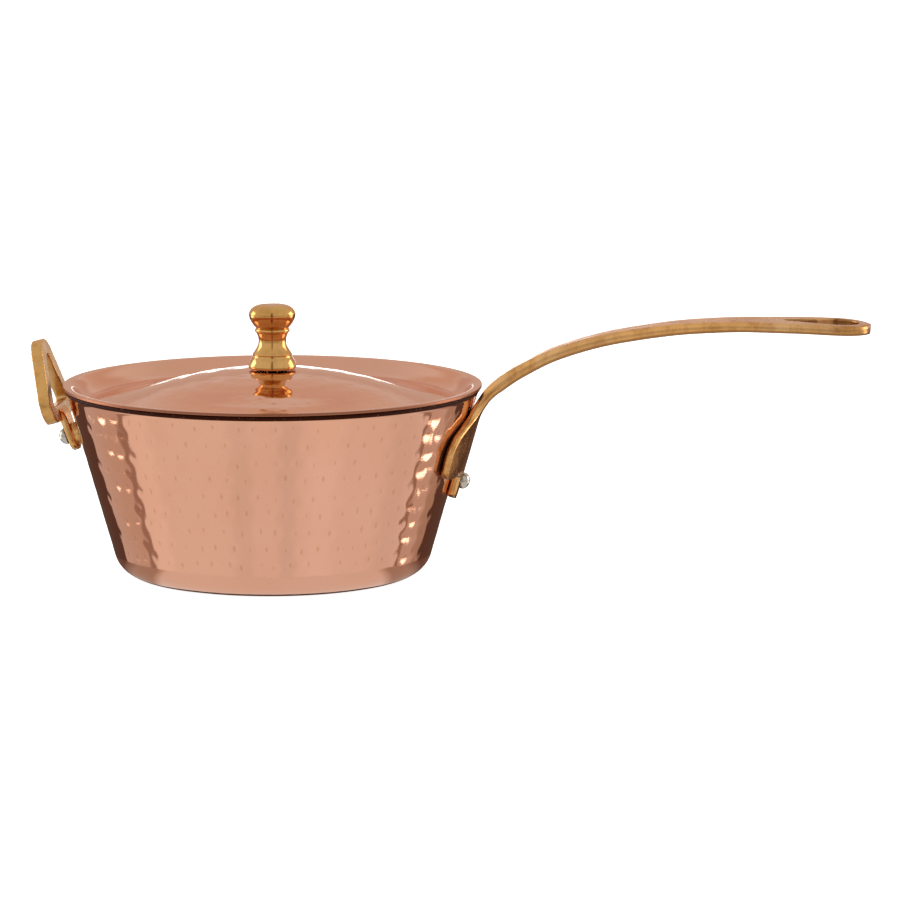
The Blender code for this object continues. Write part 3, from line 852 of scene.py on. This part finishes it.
class Nodes:
    """Builds one material's node tree with short calls."""

    def __init__(self, name):
        self.material = bpy.data.materials.new(name)
        self.material.use_nodes = True
        self.tree = self.material.node_tree
        self.shader = self.tree.nodes["Principled BSDF"]
        coordinates = self.tree.nodes.new("ShaderNodeTexCoord")
        self.place = coordinates.outputs["Object"]
        self.facing = coordinates.outputs["Normal"]

    def link(self, output, node, socket):
        self.tree.links.new(output, node.inputs[socket])

    def stretched(self, scale):
        mapping = self.tree.nodes.new("ShaderNodeMapping")
        mapping.inputs["Scale"].default_value = scale
        self.link(self.place, mapping, "Vector")
        return mapping.outputs["Vector"]

    def noise(self, scale, detail=3.0, rough=0.5, place=None):
        node = self.tree.nodes.new("ShaderNodeTexNoise")
        node.inputs["Scale"].default_value = scale
        node.inputs["Detail"].default_value = detail
        node.inputs["Roughness"].default_value = rough
        self.link(place or self.place, node, "Vector")
        return node.outputs["Fac"]

    def remap(self, value, low, high, to_low, to_high):
        node = self.tree.nodes.new("ShaderNodeMapRange")
        node.interpolation_type = "SMOOTHSTEP"
        for socket, number in zip(("From Min", "From Max", "To Min", "To Max"), (low, high, to_low, to_high)):
            node.inputs[socket].default_value = number
        self.link(value, node, "Value")
        return node.outputs["Result"]

    def add(self, first, second):
        return math_node(self.tree, "ADD", first, second)

    def mix(self, factor, first, second):
        return mix_node(self.tree, factor, first, second)

    def bump(self, height, strength, distance):
        node = self.tree.nodes.new("ShaderNodeBump")
        node.inputs["Strength"].default_value = strength
        node.inputs["Distance"].default_value = distance
        self.link(height, node, "Height")
        self.link(node.outputs["Normal"], self.shader, "Normal")

    def facing_up(self):
        """1 where the surface faces straight up, and -1 where it faces straight down."""
        node = self.tree.nodes.new("ShaderNodeSeparateXYZ")
        self.link(self.facing, node, "Vector")
        return node.outputs["Z"]

    # reads the painted shade and dullness stored for each point
    def shade_and_dullness(self):
        node = self.tree.nodes.new("ShaderNodeAttribute")
        node.attribute_name = SHADE_AND_DULLNESS
        return node.outputs["Fac"]

    def finish(self, colour, roughness):
        self.shader.inputs["Metallic"].default_value = 1.0
        self.link(colour, self.shader, "Base Color")
        self.link(roughness, self.shader, "Roughness")
        return self.material


def scaled(colour, factors):
    return tuple(c * f for c, f in zip(colour, factors))


def copper_material(name, base, gloss):
    """Polished copper: toning in broad patches, painted shade in hammer marks, on the cut edge, under the rim
    and by the foot, specks and fine hairlines.
    """
    n = Nodes(name)
    deep = scaled(base, (0.93, 0.87, 0.84))
    toned = scaled(base, (0.98, 0.97, 1.03))
    # painted shade for the middles of hammer marks, which also colours the random specks
    shade_and_dull = scaled(base, (0.80, 0.70, 0.64))
    # the brown of painted shade on the cut edge, the lip and beside the foot
    brown = scaled(base, (0.44, 0.30, 0.24))
    # the near black of painted shadow under the rim
    painted_shadow_black = scaled(base, (0.05, 0.02, 0.012))
    patches = n.remap(n.noise(28.0, 4.0), 0.35, 0.7, 0.0, 0.6)
    colour = n.mix(patches, base, deep)
    colour = n.mix(n.remap(n.noise(9.0, 2.0), 0.45, 0.7, 0.0, 0.7), colour, toned)
    # painted shade: darker middles of hammer marks
    colour = n.mix(n.remap(n.shade_and_dullness(), 0.35, 1.0, 0.0, 0.7), colour, shade_and_dull)
    # painted shade: brown on the cut edge, under the rim and beside the foot
    colour = n.mix(n.remap(n.shade_and_dullness(), 1.5, 3.5, 0.0, 0.9), colour, brown)
    # painted shadow: near black under the rim, and part way beside the foot
    colour = n.mix(n.remap(n.shade_and_dullness(), 4.2, 7.5, 0.0, 1.0), colour, painted_shadow_black)
    # random darker specks
    specks = n.remap(n.noise(900.0, 2.0), 0.66, 0.74, 0.0, 0.35)
    colour = n.mix(specks, colour, shade_and_dull)
    hairlines = n.noise(260.0, 4.0, 0.6, n.stretched((1.0, 1.0, 7.0)))
    cloud = n.remap(n.noise(45.0, 4.0), 0.3, 0.7, gloss, gloss + 0.025)
    roughness = n.add(cloud, n.remap(hairlines, 0.4, 0.7, 0.0, 0.02))
    roughness = n.add(roughness, n.remap(n.shade_and_dullness(), 1.5, 6.0, 0.0, 0.5))
    n.bump(hairlines, 0.05, 0.0002)
    return n.finish(colour, roughness)


def brass_material(name, base, gloss, wear, underside_shade, grain):
    """Brass: paler and browner patches, streaks, painted shade on faces turned down and in the hanging eye,
    darkening towards the tip, and the grain of its making.
    """
    n = Nodes(name)
    brown = scaled(base, (0.62, 0.52, 0.40))
    pale = scaled(base, (1.05, 1.20, 1.55))
    # painted shade for faces turned down and the hanging eye, also used to darken the handle towards its tip
    darker_brass = scaled(base, (0.34, 0.27, 0.22))
    blotches = n.noise(95.0, 6.0, 0.68)
    colour = n.mix(n.remap(blotches, 0.42, 0.68, 0.0, wear), base, brown)
    colour = n.mix(n.remap(n.noise(38.0, 3.0), 0.48, 0.72, 0.0, wear), colour, pale)
    streaks = n.noise(210.0, 4.0, 0.6, n.stretched((1.0, 1.0, 0.35)))
    colour = n.mix(n.remap(streaks, 0.5, 0.72, 0.0, 0.7 * wear), colour, brown)
    # painted shade: faces turned down are darker
    colour = n.mix(n.remap(n.facing_up(), -0.55, 0.0, underside_shade, 0.0), colour, darker_brass)
    # painted shade in the hanging eye, and darker towards the handle's tip
    colour = n.mix(n.remap(n.shade_and_dullness(), 0.0, 1.0, 0.0, 0.8), colour, darker_brass)
    fine = n.noise(700.0, 3.0, 0.6)
    cloud = n.remap(n.noise(120.0, 4.0), 0.3, 0.7, gloss, gloss + 0.10)
    roughness = n.add(cloud, n.remap(fine, 0.35, 0.7, 0.0, 0.06))
    n.bump(fine, grain, 0.0003)
    return n.finish(colour, roughness)


def steel_material(name, tone, gloss, stretch):
    """Satin steel: brushing marks, and patches that are a little darker and cooler."""
    n = Nodes(name)
    cooler = scaled(tone, (0.87, 0.89, 0.92))
    colour = n.mix(n.remap(n.noise(30.0, 3.0), 0.35, 0.65, 0.0, 1.0), tone, cooler)
    brushed = n.noise(300.0, 3.0, 0.6, n.stretched(stretch))
    roughness = n.remap(brushed, 0.3, 0.7, gloss, gloss + 0.1)
    n.bump(brushed, 0.12, 0.0002)
    return n.finish(colour, roughness)


# ------------------------ studio

TABLE = (0.86, 0.86, 0.86)          # the lit table in front of the pan and beside it
ROSE = (0.62, 0.55, 0.51)           # the table further back
SHADE = (0.11, 0.062, 0.045)        # the far side, out of the light
LAMP = (3.6, 3.45, 3.2)
BRIGHT_FROM, BRIGHT_TO = -99.5, 108  # the lit table's ends, in degrees round from the camera
ROSE_TO = 138                       # where the shade begins, on both sides


def glowing(name, colour, base):
    """A matt material that lights itself."""
    material = bpy.data.materials.new(name)
    material.use_nodes = True
    shader = material.node_tree.nodes["Principled BSDF"]
    shader.inputs["Base Color"].default_value = (base, base, base, 1.0)
    shader.inputs["Roughness"].default_value = 1.0
    shader.inputs["Specular IOR Level"].default_value = 0.0
    shader.inputs["Emission Color"].default_value = (*colour, 1.0)
    shader.inputs["Emission Strength"].default_value = 1.0
    return material


def make_floor():
    """A plain white floor that lights itself, so that only a faint contact shadow shows."""
    side, drop = 12.0, -0.2 * MM
    corners = [(-side, -side, drop), (side, -side, drop), (side, side, drop), (-side, side, drop)]
    floor = new_object("studio_floor", np.array(corners), [(0, 1, 2, 3)])
    floor.data.materials.append(glowing("floor_white", grey(0.92), 0.8))
    floor.visible_glossy = False


def table_sector(name, start, end, inner, outer, colour):
    """A glowing part of the table round the pan's foot, which only the metal reflects; its colour is painted
    light and shade.
    """
    turn = CAMERA_TURN - 0.5 * math.pi
    steps = 48
    angles = turn + np.radians(np.linspace(start, end, steps + 1))
    drop = -0.1 * MM
    vertices = [(r * math.cos(a), r * math.sin(a), drop) for r in (inner, outer) for a in angles]
    faces = [(i, steps + 1 + i, steps + 2 + i, i + 1) for i in range(steps)]
    sector = new_object(name, np.array(vertices), faces)
    sector.data.materials.append(glowing(name, colour, 0.0))
    sector.visible_camera = False
    sector.visible_diffuse = False


def make_table():
    """Painted shadow: the table is a near-black sheet under the pan. Round the pan's foot it is painted lit
    in front and dims to painted shade towards the back.
    """
    inner, outer = 61 * MM, 80 * MM
    # painted shadow of the pan, as a near-black sheet under it
    table_sector("painted_shadow_under_pan", -180, 180, 0.1 * MM, inner, (0.09, 0.055, 0.04))
    front = np.array(grey(0.81))
    side = np.array(scaled(ROSE, (0.72, 0.67, 0.63)))
    back = np.array(scaled(SHADE, (1.5, 1.5, 1.5)))
    stops = (
        (-180, back), (-86, back), (-70, side), (-54, side), (-48, front),
        (50, front), (57, side), (70, side), (86, back), (180, back),
    )
    for i, ((start, first), (end, second)) in enumerate(zip(stops, stops[1:])):
        blends = 1 if first is second else 8
        edges = np.linspace(start, end, blends + 1)
        for k in range(blends):
            colour = first + (k + 0.5) / blends * (second - first)
            table_sector(f"table_{i}_{k}", edges[k], edges[k + 1], inner, outer, colour)


class Sky:
    """The studio round the pan, as brightness against direction, for the metal to reflect."""

    def __init__(self):
        world = bpy.data.worlds.new("studio")
        bpy.context.scene.world = world
        world.use_nodes = True
        self.tree = world.node_tree
        self.background = self.tree.nodes["Background"]
        coordinates = self.tree.nodes.new("ShaderNodeTexCoord")
        turn = self.tree.nodes.new("ShaderNodeVectorRotate")
        turn.rotation_type = "Z_AXIS"
        turn.inputs["Angle"].default_value = -CAMERA_TURN
        self.tree.links.new(coordinates.outputs["Generated"], turn.inputs["Vector"])
        axes = self.tree.nodes.new("ShaderNodeSeparateXYZ")
        self.tree.links.new(turn.outputs["Vector"], axes.inputs["Vector"])
        around = self.math("ARCTAN2", axes.outputs["X"], self.math("MULTIPLY", axes.outputs["Y"], -1.0))
        rise = self.math("ARCSINE", axes.outputs["Z"], 0.0)
        self.around = self.math("MULTIPLY", around, 180 / math.pi)
        self.rise = self.math("MULTIPLY", rise, 180 / math.pi)
        self.colour = None

    def math(self, operation, first, second):
        return math_node(self.tree, operation, first, second)

    def step(self, value, at, soft):
        node = self.tree.nodes.new("ShaderNodeMapRange")
        node.interpolation_type = "SMOOTHSTEP"
        node.inputs["From Min"].default_value = at - soft
        node.inputs["From Max"].default_value = at + soft
        self.tree.links.new(value, node.inputs["Value"])
        return node.outputs["Result"]

    def within(self, value, low, high, soft):
        rising = self.step(value, low, soft)
        falling = self.math("SUBTRACT", 1.0, self.step(value, high, soft))
        return self.math("MULTIPLY", rising, falling)

    def fill(self, colour):
        node = self.tree.nodes.new("ShaderNodeRGB")
        node.outputs["Color"].default_value = (*colour, 1.0)
        self.colour = node.outputs["Color"]

    def card(self, colour, around, rise, soft_around=2.0, soft_rise=2.0, both=False):
        """A patch of light or shade between two angles round the pan and two angles of height, in degrees.

        Angles round the pan count from the camera, to its right; both puts the same card on the left too.
        """
        angle = self.math("ABSOLUTE", self.around, 0.0) if both else self.around
        mask = self.within(angle, *around, soft_around)
        mask = self.math("MULTIPLY", mask, self.within(self.rise, *rise, soft_rise))
        self.colour = mix_node(self.tree, mask, self.colour, colour)

    def finish(self):
        """Shows plain white to the camera and the studio to everything else."""
        plain = self.tree.nodes.new("ShaderNodeBackground")
        plain.inputs["Color"].default_value = (1.0, 1.0, 1.0, 1.0)
        choose = self.tree.nodes.new("ShaderNodeMixShader")
        path = self.tree.nodes.new("ShaderNodeLightPath")
        self.tree.links.new(self.colour, self.background.inputs["Color"])
        self.tree.links.new(path.outputs["Is Camera Ray"], choose.inputs["Fac"])
        self.tree.links.new(self.background.outputs["Background"], choose.inputs[1])
        self.tree.links.new(plain.outputs["Background"], choose.inputs[2])
        self.tree.links.new(choose.outputs["Shader"], self.tree.nodes["World Output"].inputs["Surface"])


def grey(level):
    return (level, level, level)


def make_studio():
    sky = Sky()
    sky.fill(grey(0.78))
    # the lit table in front, with faint lighter and darker bands
    sky.card(TABLE, (-120, 120), (-90, -14), 1, 4)
    sky.card(grey(0.91), (26, 48), (-60, -25), 8, 8)
    sky.card(grey(0.79), (6, 18), (-60, -25), 5, 8)
    sky.card(grey(0.80), (-28, -14), (-60, -25), 5, 8)
    sky.card(grey(0.93), (BRIGHT_FROM, -82), (-60, -20), 6, 8)
    sky.card(grey(0.78), (84, 106), (-60, -20), 8, 8)
    # the camera's side of the room is dimmer at the level of the lens
    sky.card(grey(0.50), (-70, 70), (-14, 4), 25, 5)
    # further round the table is dimmer, with a darker line where it begins, and the far side is dark
    sky.card(ROSE, (BRIGHT_TO, 200), (-38, -5), 0.8, 3)
    sky.card(ROSE, (-200, BRIGHT_FROM), (-38, -5), 0.8, 3)
    sky.card((0.39, 0.30, 0.26), (BRIGHT_FROM - 7, BRIGHT_FROM), (-38, -14), 0.8, 3)
    sky.card((0.34, 0.25, 0.20), (BRIGHT_TO, BRIGHT_TO + 4), (-38, -14), 0.8, 3)
    sky.card((0.46, 0.36, 0.29), (128, 200), (-38, -5), 3, 3)
    sky.card(SHADE, (ROSE_TO, 200), (-38, -7.5), 0.6, 1.5, both=True)
    sky.card(SHADE, (150, 172), (-9, -3), 4, 1, both=True)
    # the room behind is warm where it is low
    sky.card((0.62, 0.45, 0.36), (136, 200), (2, 17), 8, 3, both=True)
    sky.card((0.70, 0.57, 0.49), (136, 200), (17, 40), 8, 5, both=True)
    # a softbox on each side, a little behind the pan, in an upper and a lower part
    for low, start, end in (
        (-26.4, 108, 113), (-25.7, 113, 118), (-23.2, 118, 124),
        (-25.2, -110, -102), (-23.0, -120, -110), (-20.4, -130, -120),
    ):
        sky.card(LAMP, (start, end), (low, -11), 0.6, 0.4)
    sky.card(LAMP, (98, 124), (-6, 26), 2.0, 1.5, both=True)
    # a bright strip of wall just above the horizon
    sky.card(grey(2.8), (172, 200), (-6, 2), 2.5, 1.0, both=True)
    # the room above, and the gap between the front lights
    sky.card(grey(0.72), (-200, 200), (44, 100), 1, 8)
    sky.card((0.22, 0.13, 0.08), (-5, 5), (-24, 50), 4.0, 8)
    sky.finish()


def make_camera():
    """A long lens, a little above the pan and turned towards the handle's side."""
    lens = bpy.data.cameras.new("camera")
    lens.type = "PERSP"
    lens.sensor_width = 36.0
    lens.lens = LENS_MM
    camera = bpy.data.objects.new("camera", lens)
    bpy.context.scene.collection.objects.link(camera)
    back = Vector((
        math.sin(CAMERA_TURN) * math.cos(CAMERA_RISE),
        -math.cos(CAMERA_TURN) * math.cos(CAMERA_RISE),
        math.sin(CAMERA_RISE),
    ))
    camera.location = CAMERA_AIM + CAMERA_DISTANCE * back
    camera.rotation_euler = (-back).to_track_quat("-Z", "Y").to_euler()
    bpy.context.scene.camera = camera


# ------------------------ assembly

def add(piece, node, body, material):
    """Puts a finished piece in the place of its CAD node."""
    piece.data.materials.clear()
    piece.data.materials.append(material)
    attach(piece, body)
    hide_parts(node)


copper = copper_material("hammered_copper", (0.80, 0.42, 0.275), 0.035)
lid_copper = copper_material("lid_copper", (0.79, 0.41, 0.27), 0.05)
cast_brass = brass_material("cast_brass", (0.86, 0.455, 0.160), 0.18, 0.8, 0.85, 0.06)
loop_brass = brass_material("loop_brass", (0.74, 0.405, 0.135), 0.18, 0.8, 0.25, 0.06)
turned_brass = brass_material("turned_brass", (0.71, 0.385, 0.120), 0.05, 0.45, 0.25, 0.03)
steel = steel_material("brushed_steel", (0.63, 0.61, 0.585), 0.20, (1.0, 1.0, 14.0))
rivet_steel = steel_material("rivet_steel", (0.53, 0.49, 0.42), 0.14, (1.0, 1.0, 1.0))

add(make_pan_body(), "copper_pan", "pan", copper)
add(make_pan_liner(), "pan_lining", "pan", steel)
add(make_long_handle(), "long_handle", "pan", cast_brass)
add(make_loop_handle(), "helper_handle", "pan", loop_brass)
long_rivet = make_rivet("long_rivet", LONG_RIVET_HEIGHT, 1, FOOT_THICKNESS)
add(long_rivet, "long_handle_rivet", "pan", rivet_steel)
loop_rivet = make_rivet("loop_rivet", LOOP_RIVET_HEIGHT, -1, TAB_STAND_OFF)
add(loop_rivet, "helper_handle_rivet", "pan", rivet_steel)
add(make_lid_shell(), "lid_cover", "lid", lid_copper)
add(make_lid_liner(), "lid_lining", "lid", steel)
add(make_knob(), "lid_knob", "lid", turned_brass)
add(make_screw(), "knob_screw", "lid", rivet_steel)
add(make_washer(), "knob_washer", "lid", rivet_steel)

make_floor()
make_table()
make_studio()
make_camera()
bpy.context.scene.view_settings.view_transform = "Standard"
